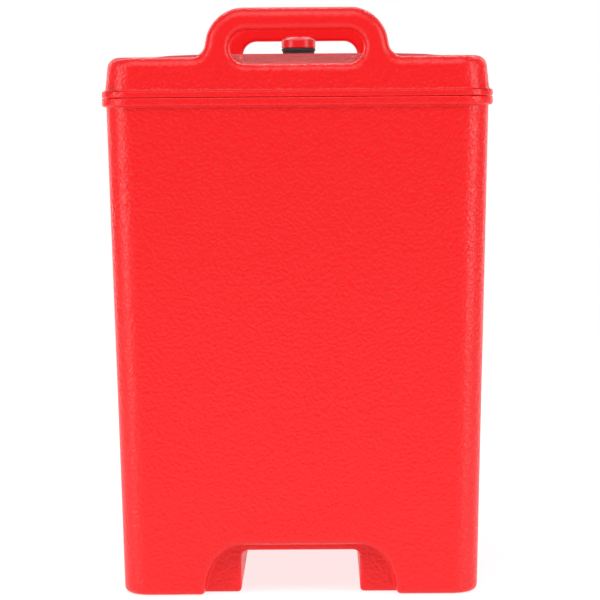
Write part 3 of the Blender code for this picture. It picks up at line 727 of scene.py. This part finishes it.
def grip_cutter():
    """The back handle's opening, which runs on inwards as a finger scoop in the lid's top."""
    half = (GRIP_TOP - GRIP_BOTTOM) / 2
    face = plate(GRIP_HALF, half, half - 0.00005, 0, 16)
    bmesh.ops.translate(face, vec=(0, half + GRIP_BOTTOM, 0), verts=face.verts)
    reach = RIM_HALF[1] + PAST
    shape = drawn_out(standing(face, -reach), (0, reach - HANDLE_INNER, 0))
    end = max(shape.faces, key=lambda part: part.calc_center_median().y)
    grown = bmesh.ops.extrude_face_region(shape, geom=[end])["geom"]
    fresh = [part for part in grown if isinstance(part, bmesh.types.BMVert)]
    bmesh.ops.translate(shape, vec=(0, 0.045, 0.016), verts=fresh)
    bmesh.ops.delete(shape, geom=[end], context="FACES_ONLY")
    return outward(shape)


def lid_radius(sizes):
    """The radius for each of the lid's edges."""

    def radius_of(middle, hollow, edge):
        x, y, z = abs(middle.x), abs(middle.y), middle.z
        if x < VENT_BORE + 0.002 and y < VENT_BORE + 0.002:
            return 0.0004
        if z < PLUG_BOTTOM + 0.001:
            return 0.0040
        if z < LID_BOTTOM + 0.0005:
            return 0.0014
        if z < LID_BOTTOM + GROOVE_DEPTH + 0.0005 and y < GROOVE_HALF[1] + 0.001 and x < GROOVE_HALF[0] + 0.001:
            return 0.0004
        if z < FLANGE_TOP + 0.0005:
            return 0.0022 if x > LID_WALL_HALF[0] + 0.0015 or y > LID_WALL_HALF[1] + 0.0015 else 0.0006
        if z < FLANGE_TOP + 0.0035:
            return 0.0010
        inside_grip = (abs(x) < GRIP_HALF + 0.001 and GRIP_BOTTOM - 0.001 < z < GRIP_TOP + 0.001)
        on_face = y > HANDLE_INNER + 0.012
        if abs(y - HANDLE_INNER) < 0.001:
            # The handle's inner edges grow out of the lid's top, so their rounding starts from nothing.
            room = 0.0 if hollow else max(0.0, (z - LID_TOP) * 0.45)
            return min(0.0040 if inside_grip else sizes.lid_edge, room)
        if inside_grip and on_face:
            return sizes.grip_edge
        if y < HANDLE_INNER:
            return 0.0012
        return sizes.lid_edge

    return radius_of


def make_lid_shell(sizes):
    corner = CORNER + 0.003
    lid = Wall(*PLUG_HALF, TANK_CORNER - 0.003, PLUG_BOTTOM)
    lid.to(*PLUG_HALF, TANK_CORNER - 0.003, LID_BOTTOM)
    lid.to(*RIM_HALF, corner, LID_BOTTOM)
    lid.to(*RIM_HALF, corner, FLANGE_TOP)
    lid.to(LID_WALL_HALF[0] + 0.0012, LID_WALL_HALF[1] + 0.0012, corner - 0.003, FLANGE_TOP)
    lid.to(*LID_WALL_HALF, corner - 0.004, FLANGE_TOP + 0.0027)
    rise = HANDLE_TOP + PAST - FLANGE_TOP - 0.0027
    lid.to(LID_WALL_HALF[0] - LID_DRAFT * rise, LID_WALL_HALF[1] - LID_DRAFT * rise, corner - 0.004,
           FLANGE_TOP + 0.0027 + rise)
    profile = drawn_out(standing(handle_outline(), RIM_HALF[1] + PAST), (0, -2 * (RIM_HALF[1] + PAST), 0))
    shape = combined(lid.closed(), profile, "INTERSECT")
    middle = block((-RIM_HALF[0] - PAST, -HANDLE_INNER, LID_TOP), (RIM_HALF[0] + PAST, HANDLE_INNER, 0.70))
    shape = combined(shape, middle)
    crown = Wall(0.170, 0.2190, 0.024, LID_TOP - 0.008)
    crown.to(0.170, 0.2190, 0.024, LID_TOP - 0.0006)
    crown.to(0.140, 0.190, 0.020, LID_TOP + 0.0028)
    crown.to(0.105, 0.155, 0.020, LID_TOP + 0.0046)
    crown.to(0.060, 0.110, 0.016, CROWN)
    shape = combined(shape, crown.closed(), "UNION")
    groove = Wall(*GROOVE_HALF, 0.030, LID_BOTTOM - 0.001)
    groove.to(*GROOVE_HALF, 0.030, LID_BOTTOM + GROOVE_DEPTH)
    island = Wall(GROOVE_HALF[0] - GROOVE_WIDTH, GROOVE_HALF[1] - GROOVE_WIDTH, 0.018, LID_BOTTOM - 0.002)
    island.to(GROOVE_HALF[0] - GROOVE_WIDTH, GROOVE_HALF[1] - GROOVE_WIDTH, 0.018,
              LID_BOTTOM + GROOVE_DEPTH + 0.001)
    groove = combined(groove.closed(), island.closed())
    slots = (four_ways(lambda: side_slot(CATCH_GROOVE, CATCH_TOP, CROWN + PAST, POCKET_HALF, 0.004)),
             four_ways(lambda: side_slot(CATCH_FACE, LID_BOTTOM - PAST, CATCH_TOP + 0.010, POCKET_HALF,
                                         0.004)))
    bore = rod((0, 0, PLUG_BOTTOM - PAST), (0, 0, CROWN + PAST), VENT_BORE)
    shape = cut(shape, mirrored(grip_cutter, (0, 1, 0)), groove, bore)
    shape = cut(softened(tidied(shape), lid_radius(sizes), 5), *slots, rounded=True)
    return hollowed(shape, "lid_foam")


def make_gasket():
    """A rubber loop in the groove, with a rounded lip along its underside."""
    half = [side - GAP for side in GROOVE_HALF]
    width = GROOVE_WIDTH - 2 * GAP
    shape = plate(*half, 0.030, LID_BOTTOM + 0.0004)
    inner = plate(half[0] - width, half[1] - width, 0.030 - width, LID_BOTTOM + 0.0004)
    ring = combined(drawn_out(shape, (0, 0, GROOVE_DEPTH - GAP - 0.0004)),
                    moved(drawn_out(inner, (0, 0, 0.02)), Matrix.Translation((0, 0, -0.01))))
    return softened(ring, lambda middle, hollow, edge: 0.0012 if middle.z < LID_BOTTOM + 0.001 else 0.0003, 3)


class CONTAINER_OT_lid(bpy.types.Operator):
    """Builds the lid's skin with its two handles, and its gasket"""

    bl_idname = "container.lid"
    bl_label = "Lid and handles"

    def execute(self, context):
        sizes = context.scene.container_sizes
        colours = context.scene.container_colours
        piece("lid_skin", make_lid_shell(sizes), skin_finish(colours, sizes), "lid",
              ["lid_shell"], 50)
        piece("lid_seal_loop", make_gasket(), rubber_finish(colours), "lid",
              ["lid_gasket"])
        coat_node("lid_foam", foam_finish(colours))
        coat_node("lid_fill_plug", cap_finish(colours))
        return {"FINISHED"}


# ------------------------------------------------------------ vent


def make_vent_knob():
    stem = 0.003
    knob = VENT_KNOB
    shape = lathed([(0, VENT_TOP), (knob - 0.0055, VENT_TOP), (knob - 0.0045, VENT_TOP - 0.0006),
                    (knob, VENT_TOP - 0.0035), (knob, VENT_SEAM + 0.0005), (knob - 0.0005, VENT_SEAM),
                    (stem, VENT_SEAM), (stem, VENT_FOOT + 0.004), (0, VENT_FOOT + 0.004)], 96)
    return softened(shape, lambda middle, hollow, edge: 0.0010 if middle.z > VENT_SEAM + 0.001 else 0.0002, 4)


def make_vent_seal():
    low = CROWN + GAP
    high = VENT_SEAM - GAP
    bore = VENT_BORE - GAP
    hole = 0.003 + GAP
    knob = VENT_KNOB
    shape = lathed([(hole, high), (knob - 0.0008, high), (knob, high - 0.0012), (knob, high - 0.0030),
                    (knob - 0.0012, high - 0.0038), (knob - 0.0012, low + 0.0012), (knob - 0.0024, low),
                    (bore, low), (bore, VENT_FOOT + 0.006), (bore - 0.0015, VENT_FOOT),
                    (hole, VENT_FOOT)], 96)
    return softened(shape, lambda middle, hollow, edge: 0.0003, 3)


class CONTAINER_OT_vent(bpy.types.Operator):
    """Builds the vent cap and its rubber seal"""

    bl_idname = "container.vent"
    bl_label = "Vent"

    def execute(self, context):
        colours = context.scene.container_colours
        piece("vent_knob", make_vent_knob(), cap_finish(colours), "vent",
              ["vent_cap"])
        piece("vent_collar", make_vent_seal(), rubber_finish(colours), "vent",
              ["vent_seal"])
        return {"FINISHED"}


# ------------------------------------------------------------ tap


def make_tap_body():
    """Barrel, shank, flange and spout in one moulding, bored through."""
    low = TAP_AXIS - 0.022
    high = TAP_AXIS + 0.022
    barrel = lathed([(0, low), (0.0155, low), (0.0170, low + 0.0020), (0.0170, high - 0.0080),
                     (0.0164, high - 0.0070), (0.0164, high - 0.0030), (0.0170, high - 0.0020),
                     (0.0170, high), (0, high)], 72, (0, TAP_BARREL, 0))
    spout = lathed([(0, TAP_AXIS - 0.044), (0.0095, TAP_AXIS - 0.044), (0.0100, TAP_AXIS - 0.040),
                    (0.0106, TAP_AXIS - 0.0395), (0.0125, TAP_AXIS - 0.018), (0, TAP_AXIS - 0.018)],
                   72, (0, TAP_BARREL, 0))
    shank = rod((0, SHELTER_BACK - 0.017, TAP_AXIS), (0, TAP_BARREL, TAP_AXIS), SHANK_RADIUS)
    flange = rod((0, FLANGE_Y, TAP_AXIS), (0, FLANGE_Y + 0.005, TAP_AXIS), 0.019, 72)
    shape = combined(barrel, spout, "UNION")
    for part in (shank, flange):
        shape = combined(shape, part, "UNION")
    shape = cut(shape,
                rod((0, TAP_BARREL, TAP_AXIS - 0.015), (0, TAP_BARREL, TAP_AXIS + 0.030), 0.013, 64),
                rod((0, SHELTER_BACK - 0.030, TAP_AXIS), (0, TAP_BARREL, TAP_AXIS), 0.007),
                rod((0, TAP_BARREL, TAP_AXIS - 0.050), (0, TAP_BARREL, TAP_AXIS - 0.010), 0.007))
    return softened(tidied(shape), lambda middle, hollow, edge: 0.0010 if hollow else 0.0006, 3, 30)


def make_bonnet():
    """The screwed top of the barrel: a fluted grip, and the ear that holds the lever's pin."""
    shape = bmesh.new()
    height = 0.011
    bmesh.ops.create_cone(shape, cap_ends=True, segments=48, radius1=0.0185, radius2=0.0168, depth=height,
                          matrix=Matrix.Translation((0, TAP_BARREL, TAP_TOP + height / 2)))
    sides = [face for face in shape.faces if abs(face.normal.z) < 0.5]
    bmesh.ops.inset_individual(shape, faces=sides[::2], thickness=0.00035, depth=-0.0007)
    ear = block((-0.0035, PIN_Y - 0.0035, TAP_TOP + 0.008), (0.0035, PIN_Y + 0.0035, TAP_TOP + 0.0225))
    ear = softened(ear, lambda middle, hollow, edge: 0.0014 if middle.z > PIN_Z else 0.0004, 3)
    shape = combined(shape, ear, "UNION")
    return cut(shape, rod((0, TAP_BARREL, TAP_TOP - 0.010), (0, TAP_BARREL, TAP_TOP + 0.030), 0.0033, 32),
               rod((-0.010, PIN_Y, PIN_Z), (0.010, PIN_Y, PIN_Z), 0.0015 + GAP, 24))


def make_lever():
    """Two arms on the pin, toes under the stem's pin, and a pad with finger ribs."""
    low = PIN_Z - 0.004
    high = PIN_Z + 0.004
    front = PIN_Y + 0.030

    def side():
        arm = block((0.0040, PIN_Y - 0.0045, low), (0.0075, front, high))
        return combined(arm, block((0.0040, TAP_BARREL - 0.004, low), (0.0075, PIN_Y, PIN_Z - 0.0008)),
                        "UNION")

    pad = block((-0.012, front - 0.012, low), (0.012, front + 0.006, high))
    shape = combined(mirrored(side, (1, 0, 0)), pad, "UNION")
    for step in range(4):
        y = front - 0.0085 + 0.0035 * step
        shape = combined(shape, block((-0.0105, y, high - 0.0007), (0.0105, y + 0.0014, high + 0.001)))
    shape = combined(shape, rod((-0.010, PIN_Y, PIN_Z), (0.010, PIN_Y, PIN_Z), 0.0015 + GAP, 24))

    def radius_of(middle, hollow, edge):
        if (middle.yz - Vector((PIN_Y, PIN_Z))).length < 0.0022:
            return 0.0
        return 0.0003 if hollow or middle.z > high - 0.0008 and abs(middle.x) < 0.0108 else 0.0011

    return softened(tidied(shape), radius_of, 3)


def make_nut():
    """The nut inside the tank that holds the tap."""
    face = SHELTER_BACK - 0.0025 - 2 * GAP
    shape = rod((0, face - 0.009, TAP_AXIS), (0, face, TAP_AXIS), 0.0195, 6)
    shape = cut(shape, rod((0, face - 0.020, TAP_AXIS), (0, face + 0.010, TAP_AXIS), SHANK_RADIUS + GAP))
    return softened(shape, lambda middle, hollow, edge: 0.0010, 3, 30)


class CONTAINER_OT_tap(bpy.types.Operator):
    """Builds the tap: body, bonnet, lever, nut, and the finish of its valve and pins"""

    bl_idname = "container.tap"
    bl_label = "Tap"

    def execute(self, context):
        colours = context.scene.container_colours
        black = tap_finish(colours)
        for name, make, body, node in (("tap_barrel", make_tap_body, "container", "tap_body"),
                                       ("tap_cap", make_bonnet, "container", "tap_bonnet"),
                                       ("tap_locknut", make_nut, "container", "tap_nut"),
                                       ("tap_handle", make_lever, "tap_lever", "tap_lever")):
            piece(name, make(), black, body, [node])
        coat_node("tap_stem", nylon_finish(colours))
        for node in ("tap_outer_washer", "tap_tank_washer", "tap_seat_cup"):
            coat_node(node, silicone_finish(colours))
        for node in ("tap_lever_pin", "tap_stem_pin"):
            coat_node(node, steel_finish(colours))
        return {"FINISHED"}


# ------------------------------------------------------------ latches


def make_latch():
    """The right front latch: hub, ribbed arm and hook in one moulding."""
    inner, outer = LATCH_ARM
    hook = CATCH_TOP + 0.001
    points = [(inner, PIVOT_Z + 0.004), (PIVOT_X - 0.0058, PIVOT_Z + 0.002),
              (PIVOT_X - 0.0060, PIVOT_Z - 0.002), (PIVOT_X - 0.0030, PIVOT_Z - 0.006),
              (PIVOT_X + 0.0035, PIVOT_Z - 0.006), (outer, PIVOT_Z - 0.002), (outer, LATCH_TOP - 0.010),
              (outer + 0.0028, LATCH_TOP), (outer - 0.002, LATCH_TOP), (outer - 0.003, hook + 0.009),
              (HOOK_TIP + 0.002, hook + 0.009), (HOOK_TIP, hook + 0.006), (HOOK_TIP, hook), (inner, hook)]
    shape = bmesh.new()
    shape.faces.new([shape.verts.new((x, LATCH_Y - LATCH_HALF, z)) for x, z in points])
    shape = drawn_out(shape, (0, 2 * LATCH_HALF, 0))
    panel = upright(LATCH_HALF - 0.0045, PIVOT_Z + 0.012, LATCH_TOP - 0.026, 0.004, -outer - 0.01,
                    -outer + 0.0012, 5)
    turn = Matrix.Translation((0, LATCH_Y, 0)) @ Matrix.Rotation(math.radians(90), 4, "Z")
    shape = combined(shape, moved(panel, turn))
    for step in range(4):
        z = LATCH_TOP - 0.0215 + 0.0032 * step
        rib = block((outer - 0.0006, LATCH_Y - LATCH_HALF + 0.003, z),
                    (outer + 0.0050, LATCH_Y + LATCH_HALF - 0.003, z + 0.0014))
        shape = combined(shape, rib)
    shape = combined(shape, rod((PIVOT_X, LATCH_Y - 0.03, PIVOT_Z), (PIVOT_X, LATCH_Y + 0.03, PIVOT_Z),
                                0.0025 + GAP, 32))

    def radius_of(middle, hollow, edge):
        if (middle.xz - Vector((PIVOT_X, PIVOT_Z))).length < 0.0032:
            return 0.0002
        on_rim = abs(abs(middle.y - LATCH_Y) - LATCH_HALF) < 0.0005
        return 0.0010 if on_rim else 0.0004

    return softened(tidied(shape), radius_of, 3)


def make_bracket():
    """The right front latch's hinge plate, with rounded corners and two ears."""
    back = POCKET_BACK + GAP
    low = PIVOT_Z - 0.010
    high = SCREW_Z + 0.007
    face = upright(0.023, low, high, 0.003, -back - PLATE, -back, 5)
    turn = Matrix.Translation((0, LATCH_Y, 0)) @ Matrix.Rotation(math.radians(90), 4, "Z")
    shape = moved(face, turn)
    for way in (-1, 1):
        middle = LATCH_Y + way * (LATCH_HALF + 0.0023)
        ear = block((back + 0.001, middle - 0.0015, PIVOT_Z - 0.006), (PIVOT_X, middle + 0.0015, PIVOT_Z + 0.006))
        end = rod((PIVOT_X, middle - 0.0015, PIVOT_Z), (PIVOT_X, middle + 0.0015, PIVOT_Z), 0.006, 40)
        shape = combined(shape, combined(ear, end, "UNION"), "UNION")
        y = LATCH_Y + way * SCREW_Y
        shape = combined(shape, rod((POCKET_BACK - 0.002, y, SCREW_Z), (POCKET_BACK + 0.005, y, SCREW_Z),
                                    0.002 + GAP, 24))
    shape = combined(shape, rod((PIVOT_X, LATCH_Y - 0.03, PIVOT_Z), (PIVOT_X, LATCH_Y + 0.03, PIVOT_Z),
                                0.0025 + GAP, 32))
    return softened(tidied(shape), lambda middle, hollow, edge: 0.0003, 2, 35)


def make_pin():
    """The right front latch's pin, with a slight dome at each end."""
    half = LATCH_HALF + 0.0050
    shape = lathed([(0, -half), (0.0019, -half), (0.0025, -half + 0.0006), (0.0025, half - 0.0006),
                    (0.0019, half), (0, half)], 32)
    place = Matrix.Translation((PIVOT_X, LATCH_Y, PIVOT_Z)) @ Matrix.Rotation(math.radians(90), 4, "X")
    return moved(shape, place)


def make_screw(way):
    """One of the right front bracket's screws: a pan head with a cross recess."""
    seat = POCKET_BACK + GAP + PLATE + GAP
    shape = lathed([(0, POCKET_BACK - 0.0025), (0.0020, POCKET_BACK - 0.0025), (0.0020, seat),
                    (0.0038, seat), (0.0038, seat + 0.0009), (0.0032, seat + 0.0017),
                    (0.0020, seat + 0.0022), (0, seat + 0.0023)], 40)
    for size in ((0.0022, 0.0005), (0.0005, 0.0022)):
        slot = block((-size[0], -size[1], seat + 0.0010), (size[0], size[1], seat + 0.0040))
        shape = combined(shape, slot)
    place = Matrix.Translation((0, LATCH_Y + way * SCREW_Y, SCREW_Z)) @ Matrix.Rotation(math.radians(90), 4, "Y")
    return moved(shape, place)


class CONTAINER_OT_latches(bpy.types.Operator):
    """Builds the four latches with their brackets, pins and screws"""

    bl_idname = "container.latches"
    bl_label = "Latches"

    def execute(self, context):
        colours = context.scene.container_colours
        nylon = nylon_finish(colours)
        steel = steel_finish(colours)
        for side, x in (("left", -1), ("right", 1)):
            for end, y in (("back", -1), ("front", 1)):
                place = Matrix.Diagonal((x, y, 1, 1))
                label = f"{side}_{end}"
                piece(f"latch_arm_{label}", moved(make_latch(), place), nylon, f"latch_{label}",
                      [f"latch_{label}"])
                piece(f"latch_plate_{label}", moved(make_bracket(), place), steel, "container",
                      [f"latch_bracket_{label}"])
                piece(f"latch_axle_{label}", moved(make_pin(), place), steel, "container",
                      [f"latch_pin_{label}"])
                for number, way in enumerate((-1, 1), 1):
                    piece(f"latch_fixing_{label}_{number}", moved(make_screw(way), place), steel,
                          "container", [f"latch_screw_{label}_{number}"])
        return {"FINISHED"}


# ------------------------------------------------------------ stage


def area_light(name, place, aim, width, height, power):
    data = bpy.data.lights.new(name, "AREA")
    data.shape = "RECTANGLE"
    data.size = width
    data.size_y = height
    data.energy = power
    lamp = bpy.data.objects.new(name, data)
    lamp.location = place
    lamp.rotation_euler = (Vector(aim) - Vector(place)).to_track_quat("-Z", "Y").to_euler()
    lamp.visible_camera = False
    bpy.context.scene.collection.objects.link(lamp)
    return lamp


class CONTAINER_OT_stage(bpy.types.Operator):
    """Sets up the floor, the soft lights and the camera"""

    bl_idname = "container.stage"
    bl_label = "Studio"

    def execute(self, context):
        scene = context.scene
        colours = scene.container_colours
        scene.view_settings.view_transform = "Standard"
        camera_data = bpy.data.cameras.new("camera")
        camera_data.lens = 154.65
        camera_data.sensor_width = 36.0
        camera_data.clip_end = 60.0
        camera = bpy.data.objects.new("camera", camera_data)
        camera.location = (0.024, -3.00, 0.5285)
        turn = Matrix.Rotation(math.radians(0.468), 4, "Z") @ Matrix.Rotation(math.radians(90 - 4.308), 4, "X")
        camera.rotation_euler = (turn @ Matrix.Rotation(math.radians(-0.43), 4, "Z")).to_euler()
        scene.collection.objects.link(camera)
        scene.camera = camera
        floor = bmesh.new()
        bmesh.ops.create_circle(floor, cap_ends=True, segments=96, radius=2.6)
        data = bpy.data.meshes.new("studio_floor")
        floor.to_mesh(data)
        floor.free()
        # A sheet of matt acrylic that is lit from below, so that it looks white up to its edge.
        surface, tree, shader = finish("matt acrylic light table", colours.floor, 0.9)
        shader.inputs["Specular IOR Level"].default_value = 0.0
        shader.inputs["Emission Color"].default_value = (1, 1, 1, 1)
        shader.inputs["Emission Strength"].default_value = 0.78
        data.materials.append(surface)
        ground = bpy.data.objects.new("studio_floor", data)
        scene.collection.objects.link(ground)
        world = bpy.data.worlds.new("studio")
        world.use_nodes = True
        tree = world.node_tree
        tree.nodes.clear()
        rays = add(tree, "ShaderNodeLightPath")
        strength = add(tree, "ShaderNodeMapRange", {"Value": rays.outputs["Is Camera Ray"], "To Min": 0.12,
                                                    "To Max": 1.0})
        sky = add(tree, "ShaderNodeBackground", {"Color": (1, 1, 1, 1), "Strength": strength.outputs["Result"]})
        add(tree, "ShaderNodeOutputWorld", {"Surface": sky.outputs["Background"]})
        scene.world = world
        sun_data = bpy.data.lights.new("top_light", "SUN")
        sun_data.energy = 1.3
        sun_data.angle = math.radians(44)
        sun = bpy.data.objects.new("top_light", sun_data)
        sun.rotation_euler = (math.radians(32), 0, math.radians(-8))
        scene.collection.objects.link(sun)
        for name, side in (("left", -1), ("right", 1)):
            area_light(f"{name}_strip", (1.9 * side, -1.3, 0.9), (0, 0, 0.35), 0.35, 2.4, 30)
            area_light(f"{name}_rim", (1.6 * side, 1.6, 0.9), (0, 0, 0.35), 1.2, 2.2, 14)
        area_light("top_strip", (0, 1.6, 2.6), (0, 0, 0.55), 3.0, 0.4, 32)
        return {"FINISHED"}


# ------------------------------------------------------------ panel


class CONTAINER_PT_panel(bpy.types.Panel):
    """Lists the container's pieces, sizes and colours"""

    bl_label = "Drink container"
    bl_space_type = "VIEW_3D"
    bl_region_type = "UI"
    bl_category = "Drink container"

    def draw(self, context):
        for operator in OPERATORS:
            self.layout.operator(operator.bl_idname)
        for group in (context.scene.container_sizes, context.scene.container_colours):
            for name in group.__annotations__:
                self.layout.prop(group, name)


OPERATORS = (CONTAINER_OT_body, CONTAINER_OT_lid, CONTAINER_OT_vent, CONTAINER_OT_tap,
             CONTAINER_OT_latches, CONTAINER_OT_stage)
CLASSES = (ContainerSizes, ContainerColours, *OPERATORS, CONTAINER_PT_panel)


def register():
    for kind in CLASSES:
        bpy.utils.register_class(kind)
    bpy.types.Scene.container_sizes = bpy.props.PointerProperty(type=ContainerSizes)
    bpy.types.Scene.container_colours = bpy.props.PointerProperty(type=ContainerColours)


def unregister():
    del bpy.types.Scene.container_colours
    del bpy.types.Scene.container_sizes
    for kind in reversed(CLASSES):
        bpy.utils.unregister_class(kind)


def main():
    register()
    bpy.ops.container.body()
    bpy.ops.container.lid()
    bpy.ops.container.vent()
    bpy.ops.container.tap()
    bpy.ops.container.latches()
    bpy.ops.container.stage()


if __name__ == "__main__":
    main()
